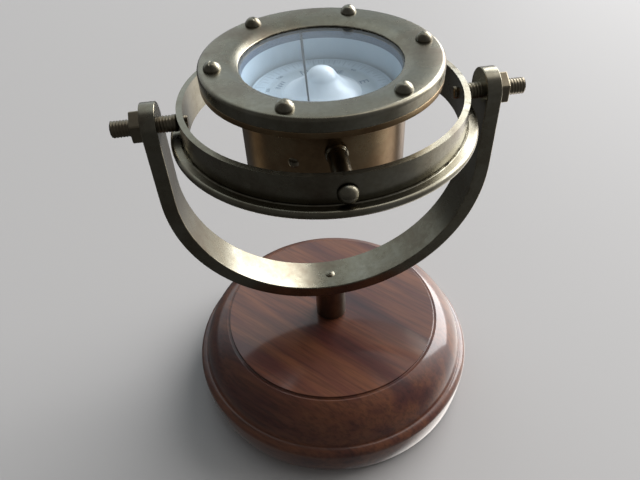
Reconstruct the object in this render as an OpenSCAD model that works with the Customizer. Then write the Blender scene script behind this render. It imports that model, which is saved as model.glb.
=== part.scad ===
// Marine compass: a liquid-type brass bowl in a gimbal ring, held by a yoke on a turned wooden base.
// Axes: X along the yoke's pins, Y along the ring's own pivots, Z up. Origin: centre of the underside.

/* [Wooden base] */
// Widest radius of the foot bead
base_r = 50; // [47:0.5:56]
// Height of the base's top face above the table
base_h = 25.6; // [22:0.2:32]
// Height of the foot bead
bead_h = 11.8; // [8:0.2:14]
// How far the foot bead stands out past its crease, and the radius of its shoulder
bead_bulge = 2.6; // [1.4:0.1:3.2]
// How far the foot bead draws in from its widest to its underside
bead_under = 0.8; // [0.3:0.1:1.6]
// Radius of the raised top disc
disc_r = 37.1; // [32:0.1:40]
// Height of the step round the top disc
disc_step = 0.7; // [0.4:0.1:2]
// Width of the flat ledge round the top disc
ledge_w = 1.1; // [0.5:0.1:3]
// Radius of the body's convex curve
body_curve_r = 15.6; // [12:0.2:30]
// Thickness of the felt under the base
felt_t = 0.6; // [0.4:0.1:2]
// How far the felt stays inside the foot
felt_inset = 1.5; // [1:0.1:6]

/* [Post and its fasteners] */
// Radius of the post
post_r = 5.3; // [4.4:0.1:8]
// Height of the post between the base and the yoke
post_h = 14.7; // [13.5:0.1:24]
// Radius of the bolt that holds the post from below
bolt_r = 2; // [1.5:0.1:2.6]
// Radius of the bolt's head
bolt_head_r = 3.6; // [3.2:0.1:4.4]
// Height of the bolt's head
bolt_head_h = 2.8; // [2:0.1:3.4]
// How far the bolt reaches into the post
bolt_reach = 8; // [5:0.1:8.2]
// Radius of the bolt's washer
washer_r = 5.6; // [5:0.1:6]
// Thickness of the bolt's washer
washer_t = 0.9; // [0.5:0.1:1.4]
// Depth of the pocket for the bolt's head
pocket_d = 8; // [6:0.1:10]
// Radius of the screw that holds the yoke
yoke_screw_r = 1.2; // [0.9:0.05:1.6]
// Radius of that screw's countersunk head
yoke_screw_head_r = 1.8; // [1.75:0.05:2.4]
// How far the yoke's screw reaches into the post
yoke_screw_reach = 4; // [2.5:0.1:4.5]

/* [Yoke] */
// Inner radius of the yoke's curve
yoke_r = 43.8; // [42.6:0.1:50]
// Thickness of the yoke's strip
yoke_t = 4.2; // [3:0.1:6]
// Width of the yoke's strip
yoke_w = 12.4; // [10:0.1:16]
// Height of the pins above the centre of the yoke's curve
arm_h = 21.1; // [10:0.1:30]
// Depth of the spot face under the yoke, where the post seats
spot_depth = 0.5; // [0.4:0.1:1]

/* [Yoke pins and nuts] */
// Radius of a yoke pin
pin_r = 2.3; // [2:0.05:2.6]
// Radius of a yoke pin's tip, which turns in the ring
pin_tip_r = 1.75; // [1.2:0.05:1.9]
// How far a tip shows inside the ring
pin_tip_out = 0.8; // [0.3:0.1:1.2]
// How far a pin stands out of the arm
pin_stub = 8.5; // [6:0.1:14]
// Lock nut, across the flats
nut_af = 8.2; // [7.6:0.1:11]
// Thickness of a lock nut
nut_h = 3; // [2.4:0.1:5]

/* [Gimbal ring] */
// Inner radius of the ring's wall
ring_r = 37; // [36.8:0.1:37.6]
// Thickness of the ring's wall
ring_wall = 1.6; // [1.2:0.1:2]
// Height of the ring's wall above the pins' axis
ring_up = 4.9; // [3.5:0.1:7]
// Depth of the ring's wall below the pins' axis
ring_down = 5.1; // [4.8:0.1:7]
// Width of the half-round bead along the ring's lower edge
rim_w = 3.1; // [2:0.1:3.2]
// Height of that bead
rim_h = 2.2; // [1.4:0.1:2.2]

/* [Bowl pivots] */
// Radius of a pivot boss
boss_r = 2.5; // [2:0.05:3]
// Radius of the spigot that seats a boss in the bowl's wall
spigot_r = 1.6; // [1.2:0.05:1.9]
// Radius of a pivot screw where it turns in the ring
pivot_r = 1.75; // [1.4:0.05:1.9]
// Radius of a pivot screw's thread
pivot_thread_r = 1.2; // [0.9:0.05:1.35]
// Length of a pivot screw's thread
pivot_thread_l = 8; // [4:0.2:10]
// Radius of a pivot screw's head
pivot_head_r = 2.6; // [2.1:0.05:3]
// Height of a pivot screw's head
pivot_head_h = 2.1; // [1.4:0.1:2.6]

/* [Bowl] */
// Outer radius of the bowl
bowl_r = 22.4; // [20.5:0.1:24]
// Thickness of the bowl's wall
bowl_wall = 1.5; // [1:0.1:1.7]
// Depth of the bowl below the pins' axis
bowl_depth = 18; // [15:0.2:24]
// Depth of the chamber's floor below the pins' axis
chamber_depth = 6; // [5:0.1:8]
// Thickness of the chamber's floor
floor_t = 1.5; // [1:0.1:2.5]
// Outer radius of the bowl's flange and of the bezel
bezel_r = 31.5; // [30.4:0.1:32]
// Thickness of the bowl's flange
flange_t = 1.6; // [1.2:0.1:2.4]
// Height of the flange's top above the pins' axis
flange_top = 11.5; // [10.6:0.1:11.9]
// Thickness of the plate that closes the bottom
plate_t = 1.4; // [1:0.1:2]
// Radius of a bottom screw's head
plate_screw_head_r = 1.5; // [1.2:0.1:2]
// Height of a bottom screw's head
plate_screw_head_h = 1; // [0.7:0.1:1.2]
// How far a bottom screw reaches into the ballast
plate_screw_reach = 3; // [2:0.1:5]
// Distance of the bottom screws from the centre
plate_screw_at = 14; // [8:0.5:17]
// Number of bottom screws
plate_screws = 3; // [2:1:6]

/* [Bezel and glass] */
// Height of the bezel
bezel_h = 3.6; // [3.4:0.1:4]
// Size of the chamfer round the bezel's outer edge
bezel_chamfer = 0.7; // [0.3:0.1:1]
// Radius of the window in the bezel
window_r = 21.3; // [19:0.1:22]
// Width of the slope from the bezel's top to the window
slope_w = 3.2; // [2:0.1:3.4]
// Thickness of the bezel's lip where it meets the window
lip_t = 0.3; // [0.2:0.05:0.8]
// Thickness of the glass
glass_t = 1.3; // [1:0.05:1.4]
// Radius of the glass
glass_r = 25.3; // [23.5:0.1:25.4]
// Thickness of the gasket under the glass
gasket_t = 0.5; // [0.3:0.05:0.6]
// Number of bezel screws
bezel_screw_count = 6; // [4:1:8]
// Distance of the bezel screws from the centre
bezel_screw_at = 27.6; // [27:0.1:28.2]
// Radius of a bezel screw's round head
bezel_screw_head_r = 2.3; // [1.4:0.05:2.5]
// Height of a bezel screw's head
bezel_screw_head_h = 2.1; // [1.3:0.1:2.4]
// Angle of the first bezel screw from X
bezel_screw_phase = 5; // [0:1:59]

/* [Sight line] */
// Width of the dark line under the glass
line_w = 0.4; // [0.3:0.05:0.8]
// Thickness of the line
line_t = 0.12; // [0.1:0.01:0.2]
// Distance of the line from the centre
line_offset = 4.3; // [0:0.1:8]
// Angle of the line from Y
line_turn = 4; // [0:0.5:10]

/* [Card] */
// Clearance between the card's edge and the bowl's wall
card_gap = 1.4; // [1.2:0.1:6]
// Thickness of the card
card_t = 0.5; // [0.3:0.05:0.7]
// Height of the card's underside above the pins' axis
card_z = 3.3; // [3:0.1:3.6]
// Radius of the bell-shaped float at the card
float_r = 10.5; // [8:0.1:12]
// Height of the float
float_h = 7.1; // [6:0.1:7.3]
// Radius of the float's round cap where its skirt begins
cap_r = 4.3; // [4:0.1:5.6]
// Height of that cap
cap_h = 3; // [2.6:0.1:3.6]
// Radius of the skirt's hollow curve
skirt_curve_r = 14; // [9:0.5:30]
// Thickness of the float's shell
float_t = 0.5; // [0.3:0.05:0.7]
// Length of a magnet
magnet_l = 18; // [10:0.5:22]
// Width of a magnet
magnet_w = 2.2; // [1.5:0.1:3]
// Depth of a magnet
magnet_h = 1.6; // [1:0.1:2.4]
// Distance of each magnet's middle from the centre
magnet_at = 6; // [4.5:0.1:8]
// Radius of the jewel cup
jewel_r = 1.7; // [1.3:0.05:2.2]
// Height of the jewel cup above the card's underside
jewel_h = 3.9; // [3.2:0.1:4.2]
// Height of the cup's rim under the card
cup_rim_h = 0.6; // [0.4:0.1:1]
// Width of that rim
cup_rim_w = 1; // [0.6:0.1:1.6]
// Thickness of the cup above the needle's point
cup_top_t = 0.8; // [0.5:0.1:1.2]
// Radius of the pivot needle
needle_r = 0.5; // [0.4:0.05:0.7]
// Radius of the stem that holds the needle
stem_r = 2.2; // [1.6:0.1:3]
// Height of the stem above the chamber's floor
stem_h = 7.4; // [6:0.1:7.8]
// Height of the stem's foot
stem_foot_h = 1.2; // [0.8:0.1:2]
// How far the foot stands out round the stem
stem_foot_w = 2; // [1:0.1:4]
// Length of the needle's point
point_h = 1; // [0.6:0.1:2]

/* [Filler plug] */
// Radius of the filler plug's thread
plug_r = 0.9; // [0.7:0.05:1.2]
// Radius of the filler plug's head
plug_head_r = 1.5; // [1.3:0.05:2]
// Height of its head
plug_head_h = 0.7; // [0.5:0.05:0.9]
// Depth of the filler plug below the pins' axis
plug_depth = 3.3; // [2.5:0.1:3.8]
// Angle of the filler plug from X
plug_angle = -118; // [-150:1:-110]

/* [Small screws] */
// Radius of the thread of the bezel's and the bottom's screws
small_screw_r = 0.8; // [0.6:0.05:0.9]
// Width of the slot in every slotted head
slot_w = 0.5; // [0.3:0.05:0.7]
// Depth of that slot
slot_d = 0.5; // [0.3:0.05:0.6]

/* [Fits] */
// Radial clearance where a pin or screw turns in the ring, or the needle in its cup
running_fit = 0.05; // [0.02:0.01:0.08]
// Radial clearance round a piece that is fixed in a hole
seat_gap = 0.05; // [0.02:0.01:0.08]
// Gap beside faces that turn past each other
turn_gap = 0.4; // [0.3:0.05:0.5]
// Radial clearance of loose fits: the glass, the ballast, the bolt in the wood
loose_gap = 0.2; // [0.1:0.05:0.3]
// Gap past the end of a screw in its hole
end_gap = 0.2; // [0.1:0.05:0.5]
// Gap round the washer in its pocket
pocket_gap = 0.5; // [0.3:0.1:1]

/* [Hidden] */
$fn = 96;

// Heights that several pieces share
post_top = base_h + post_h;
spot_r = post_r + loose_gap;
yoke_outer_r = yoke_r + yoke_t;
arc_z = post_top - spot_depth + yoke_outer_r;
axis_z = arc_z + arm_h;
ring_outer_r = ring_r + ring_wall;
// Where the pins' and pivot screws' shoulders stop outside the ring, and the bosses inside it
shoulder_r = ring_outer_r + turn_gap;
boss_end_r = ring_r - turn_gap;
bowl_inner_r = bowl_r - bowl_wall;
card_r = bowl_inner_r - card_gap;
glass_z = flange_top + gasket_t;
bezel_top = flange_top + bezel_h;
card_top = card_z + card_t;
waist_r = base_r - bead_bulge;
bead_curve_r = (pow(bead_h - bead_bulge, 2) + pow(bead_under, 2)) / (2 * bead_under);
crease_z = felt_t + bead_h;
ledge_r = disc_r + ledge_w;
ledge_z = base_h - disc_step;

brass = [0.47, 0.42, 0.29];
dark_brass = [0.33, 0.30, 0.22];
wood = [0.36, 0.17, 0.10];
steel = [0.62, 0.62, 0.60];

// Places its children at the height of the gimbal's centre.
module at_axis() {
  translate([0, 0, axis_z]) children();
}

// A cylinder along X from x0 to x1, and one along Y.
module along_x(x0, x1, r) {
  translate([x0, 0, 0]) rotate([0, 90, 0]) cylinder(h = x1 - x0, r = r);
}

module along_y(y0, y1, r) {
  translate([0, y0, 0]) rotate([-90, 0, 0]) cylinder(h = y1 - y0, r = r);
}

// A flat ring between two radii.
module flat_ring(outer_r, inner_r, h) {
  difference() {
    cylinder(h = h, r = outer_r);
    translate([0, 0, -1]) cylinder(h = h + 2, r = inner_r);
  }
}

// A screwdriver slot across a head whose top is at z = 0.
module slot(length) {
  translate([-length, -slot_w / 2, -slot_d]) cube([2 * length, slot_w, slot_d + 1]);
}

// A round head of radius r and height h on z = 0, cut from a ball, with its slot.
module round_head(r, h) {
  ball_r = (r * r + h * h) / (2 * h);
  difference() {
    intersection() {
      translate([0, 0, h - ball_r]) sphere(r = ball_r);
      cylinder(h = h, r = r);
    }
    translate([0, 0, h]) slot(r);
  }
}

// Points of an arc of radius r from p to q, bulging to the right of the way from p to q.
function arc_centre(p, q, r) =
  let (m = (p + q) / 2, d = q - p, l = norm(d), k = sqrt(r * r - l * l / 4))
  m + k / l * [-d[1], d[0]];
function arc_points(p, q, r, n = 16) =
  let (c = arc_centre(p, q, r), a = atan2(p[1] - c[1], p[0] - c[0]), b = atan2(q[1] - c[1], q[0] - c[0]))
  [for (i = [0 : n]) c + r * [cos(a + (b - a) * i / n), sin(a + (b - a) * i / n)]];
// The same points from the last to the first.
function backwards(points) = [for (i = [len(points) - 1 : -1 : 0]) points[i]];

// Stand

module felt_pad() {
  color([0.10, 0.16, 0.12]) cylinder(h = felt_t, r = waist_r - felt_inset);
}

module wooden_base() {
  color(wood) difference() {
    rotate_extrude() polygon(concat(
      [[0, felt_t]],
      arc_points([base_r - bead_under, felt_t], [base_r, crease_z - bead_bulge], bead_curve_r, 8),
      arc_points([base_r, crease_z - bead_bulge], [waist_r, crease_z], bead_bulge, 10),
      arc_points([waist_r, crease_z], [ledge_r, ledge_z], body_curve_r),
      [[disc_r, ledge_z], [disc_r, base_h], [0, base_h]]));
    translate([0, 0, felt_t - 1]) cylinder(h = pocket_d + 1, r = washer_r + pocket_gap);
    cylinder(h = base_h + 1, r = bolt_r + loose_gap);
  }
}

module base_washer() {
  color(steel) translate([0, 0, felt_t + pocket_d - washer_t])
    flat_ring(washer_r, bolt_r + loose_gap, washer_t);
}

module base_bolt() {
  head_z = felt_t + pocket_d - washer_t;
  color(steel) {
    translate([0, 0, head_z - bolt_head_h]) cylinder(h = bolt_head_h, r = bolt_head_r, $fn = 6);
    translate([0, 0, head_z - 0.5]) cylinder(h = base_h + bolt_reach - head_z + 0.5, r = bolt_r);
  }
}

module post() {
  color(dark_brass) difference() {
    translate([0, 0, base_h]) cylinder(h = post_h, r = post_r);
    translate([0, 0, base_h - 1]) cylinder(h = bolt_reach + end_gap + 1, r = bolt_r + seat_gap);
    translate([0, 0, post_top - yoke_screw_reach - end_gap])
      cylinder(h = yoke_screw_reach + 1, r = yoke_screw_r + seat_gap);
  }
}

// The yoke's outline seen along Y: a half circle of radius r with straight arms of height h on it.
module yoke_outline(r, h) {
  circle(r = r);
  translate([-r, 0]) square([2 * r, h]);
}

// The stepped hole for the yoke's screw: spot face below, countersink on top.
module yoke_screw_hole() {
  hole_r = yoke_screw_r + seat_gap;
  top_z = arc_z - yoke_r;
  sink_z = top_z + yoke_screw_r - yoke_screw_head_r;
  rotate_extrude() polygon([[0, post_top - yoke_t], [spot_r, post_top - yoke_t], [spot_r, post_top],
    [hole_r, post_top], [hole_r, sink_z], [hole_r + top_z + 1 - sink_z, top_z + 1], [0, top_z + 1]]);
}

module yoke() {
  color(brass) difference() {
    intersection() {
      translate([0, yoke_w / 2, arc_z]) rotate([90, 0, 0]) linear_extrude(yoke_w) difference() {
        yoke_outline(yoke_outer_r, arm_h + yoke_w);
        yoke_outline(yoke_r, arm_h + 2 * yoke_w);
      }
      // Round ends to the arms, centred on the pins
      union() {
        at_axis() along_x(-yoke_outer_r - 1, yoke_outer_r + 1, yoke_w / 2);
        translate([-yoke_outer_r - 1, -yoke_w, 0]) cube([2 * yoke_outer_r + 2, 2 * yoke_w, axis_z]);
      }
    }
    at_axis() along_x(-yoke_outer_r - 1, yoke_outer_r + 1, pin_r + seat_gap);
    yoke_screw_hole();
  }
}

module yoke_screw() {
  top_z = arc_z - yoke_r;
  head_h = yoke_screw_head_r - yoke_screw_r;
  color(brass) difference() {
    union() {
      translate([0, 0, top_z - head_h]) cylinder(h = head_h, r1 = yoke_screw_r, r2 = yoke_screw_head_r);
      translate([0, 0, post_top - yoke_screw_reach])
        cylinder(h = top_z - post_top + yoke_screw_reach - head_h / 2, r = yoke_screw_r);
    }
    translate([0, 0, top_z]) slot(yoke_screw_head_r + 1);
  }
}

// A yoke pin on the +X side: a threaded rod through the arm, with a thinner tip in the ring.
module yoke_pin() {
  chamfer = 0.6;
  end_x = yoke_outer_r + pin_stub;
  at_axis() {
    along_x(shoulder_r, end_x - chamfer, pin_r);
    along_x(ring_r - pin_tip_out, shoulder_r + 0.5, pin_tip_r);
    translate([end_x - chamfer, 0, 0]) rotate([0, 90, 0])
      cylinder(h = chamfer, r1 = pin_r, r2 = pin_r - chamfer);
  }
}

module lock_nut() {
  corner_r = nut_af / sqrt(3);
  chamfer = corner_r - nut_af / 2;
  at_axis() translate([yoke_outer_r, 0, 0]) rotate([0, 90, 0]) difference() {
    intersection() {
      rotate([0, 0, 30]) cylinder(h = nut_h, r = corner_r, $fn = 6);
      union() {
        cylinder(h = nut_h - chamfer, r = corner_r + 0.1);
        translate([0, 0, nut_h - chamfer])
          cylinder(h = chamfer, r1 = corner_r + 0.1, r2 = corner_r + 0.1 - chamfer);
      }
    }
    translate([0, 0, -1]) cylinder(h = nut_h + 2, r = pin_r + seat_gap);
  }
}

module yoke_pin_right() {
  color(dark_brass) yoke_pin();
}

module yoke_pin_left() {
  color(dark_brass) mirror([1, 0, 0]) yoke_pin();
}

module lock_nut_right() {
  color(dark_brass) lock_nut();
}

module lock_nut_left() {
  color(dark_brass) mirror([1, 0, 0]) lock_nut();
}

// Ring

module gimbal_ring() {
  bead_r = rim_h / 2;
  color(brass) at_axis() difference() {
    rotate_extrude() {
      translate([ring_r, -ring_down]) square([ring_wall, ring_up + ring_down]);
      translate([ring_outer_r - 0.5, -ring_down]) square([rim_w + 0.5 - bead_r, rim_h]);
      translate([ring_outer_r + rim_w - bead_r, bead_r - ring_down]) circle(r = bead_r);
    }
    for (side = [-1, 1]) {
      along_x(side * ring_r - 5, side * ring_r + 5, pin_tip_r + running_fit);
      along_y(side * ring_r - 5, side * ring_r + 5, pivot_r + running_fit);
    }
  }
}

// Bowl

// The pivot pieces are drawn on the +Y side.
module pivot_screw() {
  at_axis() {
    along_y(boss_end_r, shoulder_r + 0.3, pivot_r);
    along_y(boss_end_r - pivot_thread_l, boss_end_r + 0.5, pivot_thread_r);
    translate([0, shoulder_r, 0]) rotate([-90, 0, 0]) round_head(pivot_head_r, pivot_head_h);
  }
}

module pivot_boss() {
  at_axis() difference() {
    union() {
      along_y(bowl_r, boss_end_r, boss_r);
      along_y(bowl_inner_r + 0.3, bowl_r + 1, spigot_r);
    }
    along_y(boss_end_r - pivot_thread_l - end_gap, boss_end_r + 1, pivot_thread_r + seat_gap);
  }
}

module pivot_screw_back() {
  color(brass) pivot_screw();
}

module pivot_screw_front() {
  color(brass) mirror([0, 1, 0]) pivot_screw();
}

module pivot_boss_back() {
  color(brass) pivot_boss();
}

module pivot_boss_front() {
  color(brass) mirror([0, 1, 0]) pivot_boss();
}

// Its children repeated on the bezel screws' circle.
module on_bezel_screws() {
  for (i = [0 : bezel_screw_count - 1])
    rotate([0, 0, bezel_screw_phase + 360 * i / bezel_screw_count])
      translate([bezel_screw_at, 0, 0]) children();
}

// Its children repeated on the bottom screws' circle.
module on_plate_screws() {
  for (i = [0 : plate_screws - 1])
    rotate([0, 0, 90 + 360 * i / plate_screws]) translate([plate_screw_at, 0, 0]) children();
}

module bowl() {
  color(brass) at_axis() difference() {
    union() {
      translate([0, 0, -bowl_depth]) cylinder(h = bowl_depth + flange_top, r = bowl_r);
      translate([0, 0, flange_top - flange_t]) cylinder(h = flange_t, r = bezel_r);
    }
    translate([0, 0, -chamber_depth]) cylinder(h = chamber_depth + flange_top + 1, r = bowl_inner_r);
    translate([0, 0, -bowl_depth - 1])
      cylinder(h = bowl_depth - chamber_depth - floor_t + 1, r = bowl_inner_r);
    along_y(-bowl_r - 1, bowl_r + 1, spigot_r + seat_gap);
    rotate([0, 0, plug_angle]) translate([0, 0, -plug_depth])
      along_x(bowl_inner_r - 1, bowl_r + 1, plug_r + seat_gap);
    translate([0, 0, flange_top - flange_t - 1]) on_bezel_screws()
      cylinder(h = flange_t + 2, r = small_screw_r + seat_gap);
  }
}

module ballast() {
  top_z = -chamber_depth - floor_t;
  bottom_z = plate_t - bowl_depth;
  color([0.40, 0.41, 0.43]) at_axis() difference() {
    translate([0, 0, bottom_z]) cylinder(h = top_z - bottom_z, r = bowl_inner_r - loose_gap);
    translate([0, 0, bottom_z - 1]) on_plate_screws()
      cylinder(h = plate_screw_reach + end_gap + 1, r = small_screw_r + seat_gap);
  }
}

module bottom_plate() {
  color(brass) at_axis() difference() {
    translate([0, 0, -bowl_depth]) cylinder(h = plate_t, r = bowl_inner_r - seat_gap);
    translate([0, 0, -bowl_depth - 1]) on_plate_screws()
      cylinder(h = plate_t + 2, r = small_screw_r + seat_gap);
  }
}

module bottom_screws() {
  color(brass) at_axis() on_plate_screws() {
    translate([0, 0, -bowl_depth]) mirror([0, 0, 1]) round_head(plate_screw_head_r, plate_screw_head_h);
    translate([0, 0, -bowl_depth - 0.3]) cylinder(h = plate_t + plate_screw_reach + 0.3, r = small_screw_r);
  }
}

module filler_plug() {
  color(dark_brass) at_axis() rotate([0, 0, plug_angle]) translate([0, 0, -plug_depth]) difference() {
    union() {
      along_x(bowl_r, bowl_r + plug_head_h, plug_head_r);
      along_x(bowl_inner_r + end_gap, bowl_r + plug_head_h / 2, plug_r);
    }
    translate([bowl_r + plug_head_h / 2, -plug_head_r - 1, -slot_w / 2])
      cube([plug_head_h, 2 * plug_head_r + 2, slot_w]);
  }
}

module needle_stem() {
  color(brass) at_axis() translate([0, 0, -chamber_depth]) difference() {
    union() {
      cylinder(h = stem_foot_h, r = stem_r + stem_foot_w);
      cylinder(h = stem_h, r = stem_r);
    }
    translate([0, 0, stem_foot_h]) cylinder(h = stem_h, r = needle_r + seat_gap);
  }
}

// The needle's point ends just under the top of the jewel cup's bore.
cup_bore_top = card_z + jewel_h - cup_top_t;

module pivot_needle() {
  needle_z = stem_foot_h - chamber_depth;
  shoulder_z = cup_bore_top - running_fit - point_h;
  color(steel) at_axis() {
    translate([0, 0, needle_z]) cylinder(h = shoulder_z - needle_z, r = needle_r);
    translate([0, 0, shoulder_z]) cylinder(h = point_h, r1 = needle_r, r2 = 0.1);
  }
}

module gasket() {
  color([0.10, 0.10, 0.10]) at_axis() translate([0, 0, flange_top]) flat_ring(glass_r, bowl_inner_r, gasket_t);
}

module glass() {
  color([0.80, 0.88, 0.92, 0.35]) at_axis() translate([0, 0, glass_z]) cylinder(h = glass_t, r = glass_r);
}

// A dark line across the underside of the glass, inside the gasket.
module sight_line() {
  color([0.05, 0.05, 0.06]) at_axis() translate([0, 0, glass_z - line_t]) intersection() {
    cylinder(h = line_t, r = bowl_inner_r - loose_gap);
    rotate([0, 0, -line_turn]) translate([-line_offset - line_w / 2, -bowl_r, 0])
      cube([line_w, 2 * bowl_r, line_t]);
  }
}

module bezel() {
  lip_z = glass_z + glass_t;
  recess_r = glass_r + loose_gap;
  color(brass) at_axis() difference() {
    rotate_extrude() polygon([
      [recess_r, flange_top], [bezel_r, flange_top], [bezel_r, bezel_top - bezel_chamfer],
      [bezel_r - bezel_chamfer, bezel_top], [window_r + slope_w, bezel_top], [window_r, lip_z + lip_t],
      [window_r, lip_z], [recess_r, lip_z]]);
    translate([0, 0, flange_top - 1]) on_bezel_screws() cylinder(h = bezel_h + 2, r = small_screw_r + seat_gap);
  }
}

module bezel_screws() {
  color(brass) at_axis() on_bezel_screws() {
    translate([0, 0, bezel_top]) round_head(bezel_screw_head_r, bezel_screw_head_h);
    translate([0, 0, flange_top - flange_t]) cylinder(h = flange_t + bezel_h + 0.3, r = small_screw_r);
  }
}

// Card

module card() {
  color([0.86, 0.88, 0.88]) at_axis() translate([0, 0, card_z]) flat_ring(card_r, jewel_r + seat_gap, card_t);
}

// Half of a bell's outline, from the rim of its skirt to the top of its cap.
function bell_points(rim_r, shoulder_r, cap, h) =
  let (shoulder = [shoulder_r, h - cap], ball_r = (shoulder_r * shoulder_r + cap * cap) / (2 * cap))
  concat(backwards(arc_points(shoulder, [rim_r, 0], skirt_curve_r, 10)), arc_points(shoulder, [0, h], ball_r, 10));

// A hollow bell on the card: a skirt that curves in to a round cap.
module card_float() {
  color([0.93, 0.94, 0.92]) at_axis() translate([0, 0, card_top]) rotate_extrude() polygon(concat(
    bell_points(float_r, cap_r, cap_h, float_h),
    backwards(bell_points(float_r - float_t, cap_r - float_t, cap_h - float_t, float_h - float_t))));
}

module jewel_cup() {
  color([0.55, 0.10, 0.12]) at_axis() translate([0, 0, card_z]) difference() {
    union() {
      cylinder(h = jewel_h, r = jewel_r);
      translate([0, 0, -cup_rim_h]) cylinder(h = cup_rim_h, r = jewel_r + cup_rim_w);
    }
    translate([0, 0, -1]) cylinder(h = cup_bore_top - card_z + 1, r = needle_r + running_fit);
  }
}

module magnets() {
  color([0.25, 0.26, 0.28]) at_axis() for (side = [-1, 1])
    translate([side * magnet_at - magnet_w / 2, -magnet_l / 2, card_z - magnet_h])
      cube([magnet_w, magnet_l, magnet_h]);
}

felt_pad();
wooden_base();
base_bolt();
base_washer();
post();
yoke();
yoke_screw();
yoke_pin_left();
yoke_pin_right();
lock_nut_left();
lock_nut_right();
gimbal_ring();
pivot_screw_front();
pivot_screw_back();
pivot_boss_front();
pivot_boss_back();
bowl();
ballast();
bottom_plate();
bottom_screws();
filler_plug();
needle_stem();
pivot_needle();
gasket();
glass();
sight_line();
bezel();
bezel_screws();
card();
card_float();
jewel_cup();
magnets();
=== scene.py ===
from math import asin, cos, degrees, pi, radians, sin, sqrt

import bmesh
import bpy
from mathutils import Matrix, Vector


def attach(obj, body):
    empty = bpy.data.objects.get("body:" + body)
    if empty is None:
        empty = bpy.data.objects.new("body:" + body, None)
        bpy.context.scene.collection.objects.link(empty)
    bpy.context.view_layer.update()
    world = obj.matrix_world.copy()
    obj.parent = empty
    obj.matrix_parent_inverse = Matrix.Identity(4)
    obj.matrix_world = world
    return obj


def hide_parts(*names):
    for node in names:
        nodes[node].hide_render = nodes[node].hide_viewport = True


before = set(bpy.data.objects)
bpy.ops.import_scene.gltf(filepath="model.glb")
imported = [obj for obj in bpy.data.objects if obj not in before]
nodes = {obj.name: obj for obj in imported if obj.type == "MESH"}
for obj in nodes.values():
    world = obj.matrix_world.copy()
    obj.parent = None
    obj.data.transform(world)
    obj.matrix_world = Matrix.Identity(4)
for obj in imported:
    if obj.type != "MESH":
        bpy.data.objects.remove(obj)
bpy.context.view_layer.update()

# The camera stands in front of the compass, a little to its left, and looks down on it at
# about 43 degrees. Its place and lens come from the outlines in the photograph.
camera = bpy.data.objects.new("camera", bpy.data.cameras.new("camera"))
bpy.context.scene.collection.objects.link(camera)
camera.data.lens = 32.78
camera.data.sensor_width = 36
camera.data.clip_start = 0.01
camera.location = (-0.01774, -0.13970, 0.18914)
camera.rotation_euler = (radians(47.445), radians(2.280), radians(-8.223))
bpy.context.scene.camera = camera


# Felt pad: a disc of dark green pressed felt, glued under the wooden base so that the compass
# doesn't scratch the table.
def draw(start, *moves):
    """A turner's outline in the XZ plane, in mm: straight to (x, z), or round to (x, z, radius)."""
    bm = bmesh.new()
    end = bm.verts.new((start[0], 0, start[1]))
    for x, z, *radius in moves:
        if radius:
            goal, bulge = Vector((x, 0, z)), radius[0]
            way = goal - end.co
            side = Vector((-way.z, 0, way.x)).normalized() * (1 if bulge > 0 else -1)
            centre = end.co + way / 2 + side * sqrt(max(0, bulge ** 2 - (way.length / 2) ** 2))
            turn = 2 * asin(min(1, way.length / 2 / abs(bulge)))
            arc = bmesh.ops.spin(bm, geom=[end], cent=centre, axis=(0, -1 if bulge > 0 else 1, 0),
                                 angle=turn, steps=max(4, round(degrees(turn) / 7)))
            end = next(v for v in arc["geom_last"] if isinstance(v, bmesh.types.BMVert))
        else:
            end = bmesh.ops.extrude_vert_indiv(bm, verts=[end])["verts"][0]
        end.co = (x, 0, z)
    return bm


def everything(bm):
    """All the vertices, edges and faces of a mesh, as they are now."""
    return bm.verts[:] + bm.edges[:] + bm.faces[:]


def corners(extruded):
    """The vertices among what an extrusion made."""
    return [v for v in extruded["geom"] if isinstance(v, bmesh.types.BMVert)]


def turned(bm, ring=False, steps=180):
    """Spins an outline once round Z. A ring's outline is closed first; any other ends on the axis."""
    if ring:
        bmesh.ops.contextual_create(bm, geom=[v for v in bm.verts if len(v.link_edges) == 1])
    bmesh.ops.spin(bm, geom=bm.verts[:] + bm.edges[:], cent=(0, 0, 0), axis=(0, 0, 1),
                   angle=2 * pi, steps=steps, use_merge=True)
    bmesh.ops.remove_doubles(bm, verts=bm.verts, dist=0.001)
    bmesh.ops.recalc_face_normals(bm, faces=bm.faces)
    return bm


def soften(bm, width):
    """Rounds the sharp edges, and marks the middle of each rounding as worn."""
    sharp = radians(28)
    wear = bm.verts.layers.float.get("wear") or bm.verts.layers.float.new("wear")
    edges = [e for e in bm.edges if len(e.link_faces) == 2 and e.calc_face_angle() > sharp]
    if edges:
        rounded = bmesh.ops.bevel(bm, geom=edges, affect="EDGES", offset=width, segments=3,
                                  profile=0.5, material=-1, clamp_overlap=True)
        faces = set(rounded["faces"])
        for v in rounded["verts"]:
            if v.is_valid and all(f in faces for f in v.link_faces):
                v[wear] = 1
    return bm


def fitted(name, bm, body, finish, slot, *replaced, soft=0.15, place=Matrix.Identity(4)):
    """Makes a piece of a mesh in mm, puts it in its place and fixes it to its body."""
    bmesh.ops.transform(bm, matrix=place, verts=bm.verts)
    if soft:
        soften(bm, soft)
    bmesh.ops.scale(bm, vec=(0.001, 0.001, 0.001), verts=bm.verts)
    mesh = bpy.data.meshes.new(name)
    bm.to_mesh(mesh)
    bm.free()
    mesh.shade_smooth()
    for material in finish if isinstance(finish, list) else [finish]:
        mesh.materials.append(material)
    piece = bpy.data.objects.new(name, mesh)
    bpy.context.scene.collection.objects.link(piece)
    normals = piece.modifiers.new("even shading", "WEIGHTED_NORMAL")
    normals.keep_sharp = True
    normals.weight = 100
    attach(piece, body)
    if replaced:
        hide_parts(*replaced)
    return piece


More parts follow.
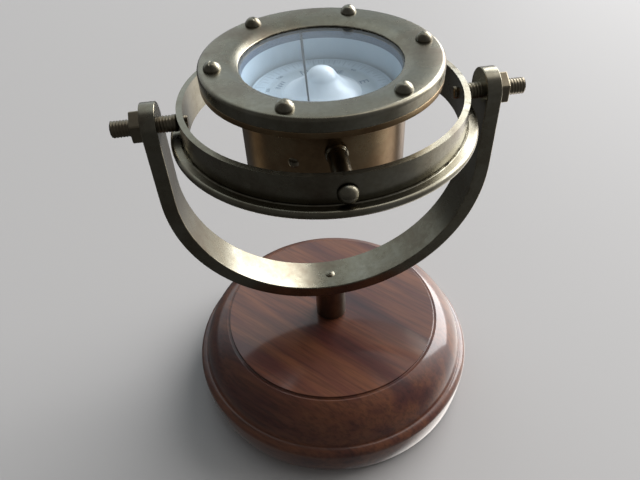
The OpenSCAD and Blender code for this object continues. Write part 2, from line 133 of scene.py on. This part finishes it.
def new_finish(name, **sockets):
    """A material, its node tree and its main shader with these plain socket values."""
    material = bpy.data.materials.new(name)
    material.use_nodes = True
    shader = material.node_tree.nodes["Principled BSDF"]
    for socket, value in sockets.items():
        shader.inputs[socket.replace("_", " ")].default_value = value
    return material, material.node_tree, shader


def node(tree, kind, **sockets):
    """Adds a node. Its sockets, by name or as i and a number, are set to a value or linked."""
    new = tree.nodes.new("ShaderNode" + kind)
    for name, value in sockets.items():
        if hasattr(new, name):
            setattr(new, name, value)
            continue
        numbered = name[0] == "i" and name[1:].isdigit()
        socket = new.inputs[int(name[1:]) if numbered else name.replace("_", " ")]
        if isinstance(value, bpy.types.NodeSocket):
            tree.links.new(value, socket)
        else:
            socket.default_value = value
    return new


def ramp(tree, factor, *stops):
    """A colour ramp from (position, colour) pairs; a colour may be one grey number."""
    new = tree.nodes.new("ShaderNodeValToRGB")
    tree.links.new(factor, new.inputs["Fac"])
    while len(new.color_ramp.elements) < len(stops):
        new.color_ramp.elements.new(0.5)
    for element, (position, colour) in zip(new.color_ramp.elements, stops):
        element.position = position
        element.color = (*((colour,) * 3 if isinstance(colour, (int, float)) else colour), 1)
    return new.outputs["Color"]


def cloudy(tree, scale, detail=5, roughness=0.6, stretch=(1, 1, 1), turn=(0, 0, 0)):
    """Noise over the piece's own coordinates, with that many patches to the metre."""
    place = node(tree, "TexCoord").outputs["Object"]
    mapped = node(tree, "Mapping", vector_type="TEXTURE", Vector=place, Scale=stretch,
                  Rotation=[radians(a) for a in turn])
    noise = node(tree, "TexNoise", Vector=mapped.outputs["Vector"], Scale=scale, Detail=detail,
                 Roughness=roughness)
    return noise.outputs["Fac"]


def raised(tree, shader, height, distance, strength=1.0):
    """Gives a shader the relief of a height map, distance metres deep."""
    bump = node(tree, "Bump", Height=height, Distance=distance, Strength=strength)
    tree.links.new(bump.outputs["Normal"], shader.inputs["Normal"])


felt, tree, shader = new_finish("green_felt", Roughness=0.95, Sheen_Weight=0.4, Sheen_Roughness=0.6)
fibres = cloudy(tree, 2600, detail=8, roughness=0.8)
tree.links.new(ramp(tree, fibres, (0.3, (0.012, 0.026, 0.016)), (0.7, (0.035, 0.07, 0.045))),
               shader.inputs["Base Color"])
raised(tree, shader, fibres, 0.0002)
fitted("felt", turned(draw((0, 0), (45.9, 0), (45.9, 0.6), (0, 0.6))), "stand", felt, "felt",
       "felt_pad", soft=0.12)

# Wooden base: turned from one block of dark mahogany, with a bead round its foot, a convex
# body and a raised disc on top, then stained and finished in gloss lacquer.
lacquered_wood, tree, shader = new_finish(
    "lacquered_mahogany", Roughness=0.45, Specular_IOR_Level=0.3, Coat_Weight=1.0,
    Coat_Roughness=0.12, Coat_IOR=1.5)
figure = cloudy(tree, 30, detail=4, roughness=0.5, stretch=(2.6, 0.4, 0.4), turn=(0, 0, -45))
pores = cloudy(tree, 420, detail=3, roughness=0.7, stretch=(10, 0.45, 0.45), turn=(0, 0, -45))
stain = ramp(tree, figure, (0.3, (0.034, 0.007, 0.009)), (0.44, (0.080, 0.019, 0.013)),
             (0.58, (0.165, 0.054, 0.022)), (0.76, (0.060, 0.014, 0.011)))
streaks = ramp(tree, pores, (0.38, 0.66), (0.56, 1.0))
colour = node(tree, "Mix", data_type="RGBA", blend_type="MULTIPLY", i0=1.0, i6=stain, i7=streaks)
tree.links.new(colour.outputs[2], shader.inputs["Base Color"])
raised(tree, shader, pores, 0.00004, 0.5)
bm = draw((2.2, 8.6), (6.1, 8.6), (6.1, 0.6), (49.2, 0.6), (50.0, 9.8, 53.3), (47.95, 12.34, 2.6),
          (47.33, 12.96, -0.62), (38.2, 24.9, 15.6), (37.3, 24.75), (37.1, 24.9), (37.1, 25.6),
          (2.2, 25.6))
fitted("base", turned(bm, ring=True, steps=256), "stand", lacquered_wood, "lacquered_wood",
       "wooden_base", soft=0.18)


# Bolt and washer: steel, sunk in a pocket under the base, where they hold the post down. The
# felt hides them. The needle under the card is of the same steel.
def dressed(material, *names):
    """Gives CAD nodes that are shown as they are a material."""
    for name in names:
        nodes[name].data.materials.clear()
        nodes[name].data.materials.append(material)


steel, tree, shader = new_finish("turned_steel", Metallic=1.0)
marks = cloudy(tree, 700, detail=4)
tree.links.new(ramp(tree, marks, (0.35, (0.42, 0.42, 0.41)), (0.65, (0.62, 0.62, 0.60))),
               shader.inputs["Base Color"])
tree.links.new(ramp(tree, marks, (0.3, 0.28), (0.7, 0.4)), shader.inputs["Roughness"])
dressed(steel, "base_bolt", "base_washer", "pivot_needle")


# Post: a plain brass cylinder, darkened with acid, that carries the yoke on the base.
def aged_brass_finish(name, dark, mid, light, bare, rough=(0.24, 0.38), patch=60):
    """Antiqued brass: cloudy brown and olive patina, with the metal showing on rubbed edges."""
    material, tree, shader = new_finish(name, Metallic=1.0)
    clouds = cloudy(tree, patch, detail=7, roughness=0.68)
    specks = cloudy(tree, patch * 14, detail=4, roughness=0.7)
    patina = ramp(tree, clouds, (0.3, dark), (0.5, mid), (0.72, light))
    fine = ramp(tree, specks, (0.3, 0.82), (0.7, 1.0))
    toned = node(tree, "Mix", data_type="RGBA", blend_type="MULTIPLY", i0=1.0, i6=patina, i7=fine)
    rubbed = node(tree, "Attribute", attribute_name="wear").outputs["Fac"]
    some = ramp(tree, cloudy(tree, patch * 5, detail=5), (0.42, 0.0), (0.62, 0.55))
    amount = node(tree, "Math", operation="MULTIPLY", i0=rubbed, i1=some)
    metal = node(tree, "Mix", data_type="RGBA", i0=amount.outputs[0], i6=toned.outputs[2],
                 i7=(*bare, 1))
    tree.links.new(metal.outputs[2], shader.inputs["Base Color"])
    tree.links.new(ramp(tree, clouds, (0.3, rough[1]), (0.7, rough[0])), shader.inputs["Roughness"])
    raised(tree, shader, specks, 0.00002, 0.35)
    return material


dark_brass = aged_brass_finish("dark_antique_brass", (0.14, 0.11, 0.075), (0.21, 0.18, 0.13),
                               (0.29, 0.26, 0.195), (0.45, 0.39, 0.27))
post = turned(draw((0, 25.6), (5.3, 25.6), (5.3, 40.3), (0, 40.3)), steps=96)
fitted("stand_post", post, "stand", dark_brass, "dark_brass", "post", soft=0.2)

# Yoke: a strip of thick brass bent to a half circle, with straight arms and round ends, spot
# faced where it seats on the post. Antiqued like the rest.
axis_z = 108.9
at_axis = Matrix.Translation((0, 0, axis_z))
arc_z = 87.8
arm_out, arm_thick, arm_half_width = 48.0, 4.2, 6.2
aged_brass = aged_brass_finish("antique_brass", (0.155, 0.125, 0.09), (0.225, 0.208, 0.158),
                               (0.30, 0.29, 0.24), (0.58, 0.52, 0.38), rough=(0.2, 0.33))
bm = bmesh.new()
tip = bm.verts.new((arm_out, arm_half_width, axis_z))
bmesh.ops.spin(bm, geom=[tip], cent=(arm_out, 0, axis_z), axis=(1, 0, 0), angle=pi, steps=28)
bmesh.ops.contextual_create(bm, geom=[v for v in bm.verts if len(v.link_edges) == 1])
bmesh.ops.edgeloop_fill(bm, edges=bm.edges[:])
thick = bmesh.ops.extrude_face_region(bm, geom=bm.faces[:])
bmesh.ops.translate(bm, vec=(-arm_thick, 0, 0), verts=corners(thick))
foot = [f for f in bm.faces if all(abs(v.co.z - axis_z) < 0.001 for v in f.verts)]
arm = bmesh.ops.extrude_face_region(bm, geom=foot)
bmesh.ops.translate(bm, vec=(0, 0, arc_z - axis_z), verts=corners(arm))
foot = [f for f in bm.faces if all(abs(v.co.z - arc_z) < 0.001 for v in f.verts)]
around = foot + [e for f in foot for e in f.edges] + [v for f in foot for v in f.verts]
bmesh.ops.spin(bm, geom=around, cent=(0, 0, arc_z), axis=(0, 1, 0), angle=pi / 2, steps=48)
inner = [f for f in bm.faces if all(len(e.link_faces) > 2 for e in f.edges)
         or all(abs(v.co.x) < 0.001 for v in f.verts)]
bmesh.ops.delete(bm, geom=inner, context="FACES_ONLY")
bmesh.ops.mirror(bm, geom=everything(bm), matrix=Matrix.Identity(4), merge_dist=0.01, axis="X")
bmesh.ops.remove_doubles(bm, verts=bm.verts, dist=0.001)
bmesh.ops.recalc_face_normals(bm, faces=bm.faces)
fitted("yoke_strip", bm, "stand", aged_brass, "aged_brass", "yoke", soft=0.3)


# Yoke screw: a slotted countersunk brass screw through the yoke's lowest point into the post.
def slotted_head(radius, height, base=0.0, slot=0.5, deep=0.5):
    """A round head on z = 0, lower than it is wide, with a screwdriver slot across it."""
    ball = (radius ** 2 + height ** 2) / (2 * height)
    bm = turned(draw((0, -base), (radius, -base), (radius, 0), (0, height, ball)), steps=48)
    for side in (-1, 1):
        bmesh.ops.bisect_plane(bm, geom=everything(bm), plane_co=(0, side * slot / 2, 0),
                               plane_no=(0, 1, 0), dist=0.0001)
    floor = height - deep
    bmesh.ops.bisect_plane(bm, geom=everything(bm), plane_co=(0, 0, floor), plane_no=(0, 0, 1),
                           dist=0.0001)
    cut = [f for f in bm.faces if abs(f.calc_center_median().y) < slot / 2
           and f.calc_center_median().z > floor]
    sunk = bmesh.ops.extrude_face_region(bm, geom=cut)
    for v in corners(sunk):
        v.co.z = floor
    bmesh.ops.remove_doubles(bm, verts=bm.verts, dist=0.001)
    bmesh.ops.recalc_face_normals(bm, faces=bm.faces)
    return bm


fitted("yoke_screw_head", slotted_head(1.8, 0.35, base=0.6, deep=0.45), "stand", aged_brass,
       "aged_brass", "yoke_screw", soft=0.06,
       place=Matrix.Translation((0, 0, 44.0)) @ Matrix.Rotation(radians(25), 4, "Z"))


# Yoke pins: two lengths of threaded brass rod through the arms, each with a plain tip that
# turns in the gimbal ring.
def threaded_rod(radius, depth, pitch, length):
    """A rod along +Z from z = 0 with a real helical thread, cut square at both ends."""
    bm = bmesh.new()
    turns = int(length / pitch) + 3
    profile = [(radius - depth, 0.0), (radius, 0.42), (radius, 0.58), (radius - depth, 1.0)]
    end = bm.verts.new((profile[0][0], 0, -1.5 * pitch))
    for r, share in profile[1:]:
        end = bmesh.ops.extrude_vert_indiv(bm, verts=[end])["verts"][0]
        end.co = (r, 0, (share - 1.5) * pitch)
    bmesh.ops.spin(bm, geom=bm.verts[:] + bm.edges[:], cent=(0, 0, 0), axis=(0, 0, 1),
                   dvec=(0, 0, pitch / 32), angle=2 * pi * turns, steps=32 * turns)
    bmesh.ops.remove_doubles(bm, verts=bm.verts, dist=0.001)
    for z, way in ((0, -1), (length, 1)):
        bmesh.ops.bisect_plane(bm, geom=everything(bm), plane_co=(0, 0, z), plane_no=(0, 0, way),
                               dist=0.0001, clear_outer=True)
    bmesh.ops.remove_doubles(bm, verts=bm.verts, dist=0.001)
    bmesh.ops.holes_fill(bm, edges=[e for e in bm.edges if e.is_boundary])
    bmesh.ops.recalc_face_normals(bm, faces=bm.faces)
    return bm


def joined(*parts):
    """Several meshes in one."""
    whole = bmesh.new()
    for bm in parts:
        mesh = bpy.data.meshes.new("part")
        bm.to_mesh(mesh)
        bm.free()
        whole.from_mesh(mesh)
        bpy.data.meshes.remove(mesh)
    return whole


for side, turn in (("left", -pi / 2), ("right", pi / 2)):
    rod = threaded_rod(2.27, 0.22, 0.8, 17.0)
    core = turned(draw((0, 36.2), (1.55, 36.2), (1.75, 36.4), (1.75, 39.0), (2.3, 39.0), (2.3, 40.0),
                       (1.9, 40.4), (1.9, 56.0), (2.02, 56.1), (2.02, 56.2), (1.7, 56.5), (0, 56.5)),
                  steps=64)
    bmesh.ops.translate(rod, vec=(0, 0, 39.3), verts=rod.verts)
    place = at_axis @ Matrix.Rotation(turn, 4, "Y")
    fitted("yoke_pin_rod_" + side, joined(rod, core), "stand", dark_brass, "dark_brass",
           "yoke_pin_" + side, soft=0, place=place)

# Lock nuts: thin hexagon nuts on the pins, turned tight against the outside of the arms.
for side, turn in (("left", -pi / 2), ("right", pi / 2)):
    bm = bmesh.new()
    bmesh.ops.create_cone(bm, cap_ends=True, segments=6, radius1=4.73, radius2=4.73, depth=3.0)
    bmesh.ops.rotate(bm, cent=(0, 0, 0), matrix=Matrix.Rotation(radians(30), 3, "Z"), verts=bm.verts)
    bmesh.ops.translate(bm, vec=(0, 0, 49.5), verts=bm.verts)
    place = at_axis @ Matrix.Rotation(turn, 4, "Y")
    fitted("lock_nut_hexagon_" + side, bm, "stand", dark_brass, "dark_brass", "lock_nut_" + side,
           soft=0.35, place=place)


# Gimbal ring: a turned brass hoop with a half-round bead along its lower edge, drilled for the
# yoke's pins at its sides and for the bowl's pivot screws in front and behind.
def drilled(bm, radius, *ways):
    """Bores round holes through a mesh in mm, each from one point to another."""
    mesh = bpy.data.meshes.new("blank")
    bm.to_mesh(mesh)
    bm.free()
    blank = bpy.data.objects.new("blank", mesh)
    bpy.context.scene.collection.objects.link(blank)
    bits = []
    for start, end in ways:
        tool = bmesh.new()
        way = Vector(end) - Vector(start)
        bmesh.ops.create_cone(tool, cap_ends=True, segments=40, radius1=radius, radius2=radius,
                              depth=way.length)
        turn = way.to_track_quat("Z", "Y").to_matrix().to_4x4()
        bmesh.ops.transform(tool, matrix=Matrix.Translation((Vector(start) + Vector(end)) / 2) @ turn,
                            verts=tool.verts)
        bit_mesh = bpy.data.meshes.new("bit")
        tool.to_mesh(bit_mesh)
        tool.free()
        bit = bpy.data.objects.new("bit", bit_mesh)
        bpy.context.scene.collection.objects.link(bit)
        cut = blank.modifiers.new("hole", "BOOLEAN")
        cut.operation, cut.object, cut.solver = "DIFFERENCE", bit, "EXACT"
        bits.append(bit)
    bpy.context.view_layer.update()
    result = bmesh.new()
    result.from_object(blank, bpy.context.evaluated_depsgraph_get())
    for thing in [blank, *bits]:
        bpy.data.objects.remove(thing)
    return result


hoop = turned(draw((37.0, -5.1), (40.6, -5.1), (40.6, -2.9, 1.1), (39.1, -2.9), (38.85, -3.25),
                   (38.6, -2.9), (38.6, 4.9), (37.0, 4.9)), ring=True, steps=240)
hoop = drilled(hoop, 1.8, ((-45, 0, 0), (-30, 0, 0)), ((30, 0, 0), (45, 0, 0)),
               ((0, -45, 0), (0, -30, 0)), ((0, 30, 0), (0, 45, 0)))
fitted("ring_hoop", hoop, "ring", aged_brass, "aged_brass", "gimbal_ring", soft=0.2,
       place=at_axis)

# Pivot screws and bosses: in front and behind, a round-headed brass screw turns in the ring and
# is threaded into a turned boss on the bowl's wall.
for side, turn in (("front", pi / 2), ("back", -pi / 2)):
    place = at_axis @ Matrix.Rotation(turn, 4, "X")
    journal = turned(draw((0, 36.6), (1.75, 36.6), (1.75, 39.1), (0, 39.1)), steps=48)
    head = slotted_head(2.6, 2.1)
    bmesh.ops.translate(head, vec=(0, 0, 39.0), verts=head.verts)
    fitted("pivot_screw_head_" + side, joined(journal, head), "bowl", aged_brass, "aged_brass",
           "pivot_screw_" + side, soft=0.12, place=place)
    boss = turned(draw((0, 22.0), (2.9, 22.0), (2.9, 23.4), (2.5, 23.8), (2.5, 36.6), (0, 36.6)),
                  steps=64)
    fitted("pivot_boss_turned_" + side, boss, "bowl", aged_brass, "aged_brass",
           "pivot_boss_" + side, soft=0.15, place=place)

# Bowl: turned brass, with a flange for the bezel, a floor that closes the chamber, and room
# below for the ballast. The chamber is enamelled white inside, and its upper wall is painted
# dark slate blue: painted shade, standing for the shadow that the bezel casts there.
bowl_brass = aged_brass_finish("brown_antique_brass", (0.17, 0.10, 0.05), (0.28, 0.185, 0.10),
                               (0.36, 0.28, 0.17), (0.5, 0.4, 0.25), patch=45)
white_enamel, tree, shader = new_finish("white_enamel", Roughness=0.35)
tree.links.new(ramp(tree, cloudy(tree, 120), (0.3, (0.50, 0.60, 0.67)), (0.7, (0.58, 0.67, 0.73))),
               shader.inputs["Base Color"])
# Dark slate blue for the upper chamber wall: painted shade for the bezel's shadow, not a second enamel.
painted_shade_enamel, tree, shader = new_finish("painted_shade_enamel", Roughness=0.4)
tree.links.new(ramp(tree, cloudy(tree, 120), (0.3, (0.04, 0.075, 0.13)), (0.7, (0.06, 0.10, 0.17))),
               shader.inputs["Base Color"])
wall_out, wall_in, rim, bottom = 22.4, 20.9, 31.5, -18
painted_shade_from, chamber_floor = 9.4, -6
bm = turned(draw((0, -7.5), (wall_in, -7.5), (wall_in, bottom), (wall_out, bottom), (wall_out, 8.7),
                 (23.6, 9.9, -1.2), (rim, 9.9), (rim, 11.5), (wall_in, 11.5), (wall_in, painted_shade_from),
                 (wall_in, chamber_floor), (0, chamber_floor)), steps=200)
# Faces above the height where the painted shade starts take the dark slate colour, the rest the white.
for f in bm.faces:
    middle = f.calc_center_median()
    if middle.z > chamber_floor - 0.1 and middle.xy.length < wall_in + 0.1:
        f.material_index = 1 if middle.z < painted_shade_from - 0.1 else 2
fitted("bowl_turned", bm, "bowl", [bowl_brass, white_enamel, painted_shade_enamel], "aged_brass", "bowl",
       soft=0.15, place=at_axis)

# Ballast, bottom plate and its screws: a turned brass slug keeps the bowl upright, and a plate
# with three round-headed screws closes it in.
raw_brass = aged_brass_finish("turned_brass", (0.42, 0.32, 0.16), (0.55, 0.43, 0.22),
                              (0.62, 0.50, 0.28), (0.7, 0.58, 0.34))
dressed(raw_brass, "ballast", "needle_stem")
plate = turned(draw((0, bottom), (20.85, bottom), (20.85, -16.6), (0, -16.6)), steps=160)
fitted("bottom_plate_disc", plate, "bowl", bowl_brass, "aged_brass", "bottom_plate", soft=0.2,
       place=at_axis)
heads = []
for i in range(3):
    head = slotted_head(1.5, 1.0, base=0.2, deep=0.45)
    bmesh.ops.transform(head, verts=head.verts, matrix=Matrix.Rotation(radians(90 + 120 * i), 4, "Z")
                        @ Matrix.Translation((14, 0, bottom)) @ Matrix.Rotation(pi, 4, "X"))
    heads.append(head)
fitted("bottom_screw_heads", joined(*heads), "bowl", aged_brass, "aged_brass", "bottom_screws",
       soft=0.06, place=at_axis)

# Filler plug: a small slotted screw in the bowl's wall, where the chamber is filled.
plug = slotted_head(1.5, 0.7, base=0.3, deep=0.35)
fitted("filler_plug_head", plug, "bowl", dark_brass, "dark_brass", "filler_plug", soft=0.06,
       place=at_axis @ Matrix.Rotation(radians(-118), 4, "Z")
       @ Matrix.Translation((wall_out, 0, -3.3)) @ Matrix.Rotation(pi / 2, 4, "Y"))

# Gasket: a flat rubber ring between the flange and the glass.
rubber, tree, shader = new_finish("black_rubber", Roughness=0.7)
tree.links.new(ramp(tree, cloudy(tree, 900), (0.3, 0.012), (0.7, 0.03)), shader.inputs["Base Color"])
dressed(rubber, "gasket")


# Glass: a flat polished disc, pressed on its gasket by the bezel.
def let_light_through(tree, shader, colour):
    """Lets lamp light pass straight through a clear piece, so that what lies behind isn't in shadow."""
    through = node(tree, "BsdfTransparent", Color=colour)
    shadow = node(tree, "LightPath").outputs["Is Shadow Ray"]
    passed = node(tree, "MixShader", i0=shadow, i1=shader.outputs["BSDF"], i2=through.outputs["BSDF"])
    tree.links.new(passed.outputs["Shader"], tree.nodes["Material Output"].inputs["Surface"])


clear_glass, tree, shader = new_finish("clear_glass", Transmission_Weight=1.0, IOR=1.45)
shader.inputs["Base Color"].default_value = (0.90, 0.95, 0.99, 1)
smears = cloudy(tree, 90, detail=6, roughness=0.7)
tree.links.new(ramp(tree, smears, (0.35, 0.0), (0.75, 0.05)), shader.inputs["Roughness"])
let_light_through(tree, shader, (0.96, 0.98, 1.0, 1))
pane_low, pane_high, bezel_top = 12.0, 13.3, 15.1
pane = turned(draw((0, pane_low), (25.3, pane_low), (25.3, pane_high), (0, pane_high)), steps=160)
fitted("glass_disc", pane, "bowl", clear_glass, "clear_glass", "glass", soft=0.15,
       place=at_axis)

# Sight line: a dark line painted across the underside of the glass by hand, a little wider at
# the back than in front.
black_paint, tree, shader = new_finish("black_paint", Roughness=0.9, Specular_IOR_Level=0.1)
tree.links.new(ramp(tree, cloudy(tree, 1500), (0.3, (0.003, 0.004, 0.008)),
                    (0.7, (0.006, 0.008, 0.014))), shader.inputs["Base Color"])
bm = bmesh.new()
bmesh.ops.create_cube(bm, size=1)
bmesh.ops.scale(bm, vec=(0.5, 40.4, 0.1), verts=bm.verts)
bmesh.ops.translate(bm, vec=(-4.3, 0, 11.94), verts=bm.verts)
for v in bm.verts:
    v.co.x += 0.14 * (1 if v.co.x > -4.3 else -1) * (1 if v.co.y > 0 else -0.4)
fitted("sight_line_paint", bm, "bowl", black_paint, "black_line", "sight_line", soft=0,
       place=at_axis @ Matrix.Rotation(radians(-4), 4, "Z"))

# Bezel: a turned brass ring with a flat top and a slope down to the window. It clamps the
# glass and is screwed to the bowl's flange.
bm = turned(draw((25.5, 11.5), (rim, 11.5), (rim, 14.0), (30.4, bezel_top, 1.1), (24.5, bezel_top),
                 (21.3, 13.6), (21.3, pane_high), (25.5, pane_high)), ring=True, steps=240)
fitted("bezel_ring", bm, "bowl", aged_brass, "aged_brass", "bezel", soft=0.15,
       place=at_axis)

# Bezel screws: six round-headed brass screws, slotted, each left at its own angle.
heads = []
for i in range(6):
    head = slotted_head(2.3, 2.1, slot=0.45, deep=0.45)
    bmesh.ops.transform(head, verts=head.verts, matrix=Matrix.Rotation(radians(5 + 60 * i), 4, "Z")
                        @ Matrix.Translation((27.6, 0, bezel_top))
                        @ Matrix.Rotation(radians(20 + 77 * i), 4, "Z"))
    heads.append(head)
fitted("bezel_screw_heads", joined(*heads), "bowl", aged_brass, "aged_brass", "bezel_screws",
       soft=0.08, place=at_axis)

# Card: a thin white disc, printed with a scale of degrees and a tinted band for the points.
# It turns on the needle.
card_paint, tree, shader = new_finish("printed_card", Roughness=0.5)
place = node(tree, "TexCoord").outputs["Object"]
apart = node(tree, "SeparateXYZ", Vector=place)
flat = node(tree, "CombineXYZ", X=apart.outputs["X"], Y=apart.outputs["Y"])
radius = node(tree, "VectorMath", operation="LENGTH", i0=flat.outputs["Vector"]).outputs["Value"]


def calc(operation, a, b=0.0):
    """One step of sums in the node tree at hand."""
    return node(tree, "Math", operation=operation, i0=a, i1=b).outputs[0]


def ticks(every, width, low, high):
    """Lines at every so many degrees, of a width in metres, between two radii."""
    turns = calc("MULTIPLY", angle, 180 / pi / every)
    off = calc("ABSOLUTE", calc("SUBTRACT", turns, calc("ROUND", turns)))
    along = calc("MULTIPLY", calc("MULTIPLY", off, radians(every)), radius)
    line = calc("LESS_THAN", along, width / 2)
    band = calc("MULTIPLY", calc("GREATER_THAN", radius, low), calc("LESS_THAN", radius, high))
    return calc("MULTIPLY", line, band)


angle = calc("ARCTAN2", apart.outputs["X"], apart.outputs["Y"])
scale_r, band_r = 0.0186, 0.0125
scale = calc("MAXIMUM", ticks(10, 0.00036, 0.0158, scale_r), calc(
    "MAXIMUM", ticks(5, 0.00026, 0.0166, scale_r), ticks(2.5, 0.00016, 0.0174, scale_r)))
edge = calc("LESS_THAN", calc("ABSOLUTE", calc("SUBTRACT", radius, scale_r)), 0.00009)
print_share = calc("MULTIPLY", calc("MAXIMUM", scale, edge), 0.4)
off_band = calc("ABSOLUTE", calc("SUBTRACT", radius, band_r))
tinted = ramp(tree, calc("MULTIPLY", off_band, 200), (0.3, 0.74), (0.62, 1.0))
plain = ramp(tree, cloudy(tree, 160, detail=5), (0.3, (0.44, 0.53, 0.59)), (0.7, (0.53, 0.61, 0.66)))
paper = node(tree, "Mix", data_type="RGBA", blend_type="MULTIPLY", i0=1.0, i6=plain, i7=tinted)
inked = node(tree, "Mix", data_type="RGBA", i0=print_share, i6=paper.outputs[2],
             i7=(0.12, 0.17, 0.24, 1))
tree.links.new(inked.outputs[2], shader.inputs["Base Color"])
hole_r, card_r, card_low, card_top = 1.75, 19.5, 3.3, 3.8
disc = turned(draw((hole_r, card_low), (card_r, card_low), (card_r, card_top), (hole_r, card_top)),
              ring=True, steps=160)
fitted("card_disc", disc, "card", card_paint, "card_white", "card", soft=0.08,
       place=at_axis)

# Card lettering: the points of the compass and the tens of degrees, printed in dark blue ink.
ink, tree, shader = new_finish("blue_ink", Roughness=0.6)
tree.links.new(ramp(tree, cloudy(tree, 1200), (0.3, (0.05, 0.08, 0.13)), (0.7, (0.08, 0.12, 0.18))),
               shader.inputs["Base Color"])
letters = bmesh.new()
big, mid, small = (3.6, 12.2), (2.4, 12.0), (1.5, 14.6)
north = 15
for text, bearing, (size, middle) in (
        ("N", 0, big), ("E", 90, big), ("S", 180, big), ("W", 270, big),
        ("NE", 45, mid), ("SE", 135, mid), ("SW", 225, mid), ("NW", 315, mid),
        *((str(tens), tens, small) for tens in (30, 60, 120, 150, 210, 240, 300, 330))):
    line = bpy.data.curves.new("line", "FONT")
    line.body, line.size, line.extrude = text, size, 0.01
    line.align_x, line.align_y = "CENTER", "CENTER"
    shown = bpy.data.objects.new("line", line)
    bpy.context.scene.collection.objects.link(shown)
    mesh = bpy.data.meshes.new_from_object(shown.evaluated_get(bpy.context.evaluated_depsgraph_get()))
    mesh.transform(Matrix.Rotation(radians(north - bearing), 4, "Z")
                   @ Matrix.Translation((0, middle, card_top + 0.012)))
    letters.from_mesh(mesh)
    bpy.data.objects.remove(shown)
    bpy.data.meshes.remove(mesh)
fitted("card_lettering", letters, "card", ink, "card_white", soft=0,
       place=at_axis)

# Float: a moulded white bell in the middle of the card, hollow, so that little weight rests on
# the needle.
float_white, tree, shader = new_finish("white_float", Roughness=0.3)
tree.links.new(ramp(tree, cloudy(tree, 200), (0.3, (0.68, 0.74, 0.78)), (0.7, (0.74, 0.79, 0.82))),
               shader.inputs["Base Color"])
bell = turned(draw((10.5, card_top), (4.3, 7.9, -14), (0, 10.9, 4.58)), steps=128)
bmesh.ops.solidify(bell, geom=bell.faces[:], thickness=0.5)
fitted("float_bell", bell, "card", float_white, "float_white", "card_float", soft=0,
       place=at_axis)

# Jewel and magnets: under the bell, a red jewel cup rides on the needle, and two blackened
# bar magnets hang below the card.
jewel, tree, shader = new_finish("red_jewel", Roughness=0.08, Coat_Weight=0.5)
tree.links.new(ramp(tree, cloudy(tree, 500), (0.3, (0.25, 0.01, 0.02)), (0.7, (0.4, 0.03, 0.05))),
               shader.inputs["Base Color"])
dressed(jewel, "jewel_cup")
magnet_steel, tree, shader = new_finish("blackened_steel", Metallic=1.0, Roughness=0.45)
tree.links.new(ramp(tree, cloudy(tree, 400), (0.3, 0.06), (0.7, 0.14)), shader.inputs["Base Color"])
dressed(magnet_steel, "magnets")

# Floor: a wide pale table top with a faint sheen. It isn't part of the compass, and the brass
# doesn't mirror it, since the metal's front is dark in the photograph.
table, tree, shader = new_finish("pale_table", Roughness=0.6, Specular_IOR_Level=0.15)
shader.inputs["Base Color"].default_value = (0.465, 0.455, 0.45, 1)
bm = bmesh.new()
bmesh.ops.create_grid(bm, x_segments=1, y_segments=1, size=4)
mesh = bpy.data.meshes.new("floor")
bm.to_mesh(mesh)
bm.free()
mesh.materials.append(table)
floor = bpy.data.objects.new("floor", mesh)
floor.location.z = -0.0002
floor.visible_glossy = False
bpy.context.scene.collection.objects.link(floor)

# Light: one large soft window behind the compass and to its right, in a room that is pale
# behind the compass and dark behind the camera. The room is painted by bearing, from behind
# the camera by its left and the compass's back to its right, once above the horizon and once
# below it. The camera itself sees plain grey past the floor.
lamp_bearing, lamp_height, distance = radians(54), radians(24), 3.0
width, tall, brightness = 3.2, 2.35, 6.5
way = Vector((sin(lamp_bearing) * cos(lamp_height), cos(lamp_bearing) * cos(lamp_height),
              sin(lamp_height)))
lamp = bpy.data.lights.new("window", "AREA")
lamp.shape, lamp.size, lamp.size_y, lamp.color = "RECTANGLE", width, tall, (0.99, 0.99, 1.0)
lamp.energy = brightness * pi * width * tall
window = bpy.data.objects.new("window", lamp)
window.location = Vector((0, 0, 0.1)) + way * distance
window.rotation_euler = way.to_track_quat("Z", "Y").to_euler()
window.visible_camera = False
bpy.context.scene.collection.objects.link(window)
world = bpy.data.worlds.new("room")
bpy.context.scene.world = world
world.use_nodes = True
tree = world.node_tree
way = node(tree, "SeparateXYZ", Vector=node(tree, "TexCoord").outputs["Generated"])
bearing = calc("ARCTAN2", way.outputs["X"], way.outputs["Y"])
round_share = calc("ADD", calc("DIVIDE", bearing, 2 * pi), 0.5)
high = ramp(tree, round_share, (0.0, 0.1), (0.30, 0.11), (0.41, (0.7, 0.76, 0.8)),
            (0.49, (0.95, 1.04, 1.08)), (0.53, (0.50, 0.56, 0.59)), (0.57, (0.46, 0.5, 0.51)),
            (0.65, (2.0, 1.95, 1.9)), (0.74, (1.4, 1.35, 1.3)), (0.82, 0.2), (1.0, 0.1))
low = ramp(tree, round_share, (0.0, 0.07), (0.5, 0.07), (0.57, 0.4), (0.65, (1.9, 1.8, 1.7)),
           (0.74, (1.3, 1.25, 1.2)), (0.82, 0.2), (1.0, 0.07))
height = calc("ADD", calc("MULTIPLY", way.outputs["Z"], 0.5), 0.5)
above = ramp(tree, height, (0.48, 0.0), (0.54, 1.0))
room_light = node(tree, "Mix", data_type="RGBA", i0=above, i6=low, i7=high)
seen = node(tree, "LightPath").outputs["Is Camera Ray"]
backdrop = node(tree, "Mix", data_type="RGBA", i0=seen, i6=room_light.outputs[2],
                i7=(0.5, 0.5, 0.51, 1))
tree.links.new(backdrop.outputs[2], tree.nodes["Background"].inputs["Color"])
bpy.context.scene.view_settings.view_transform = "Standard"
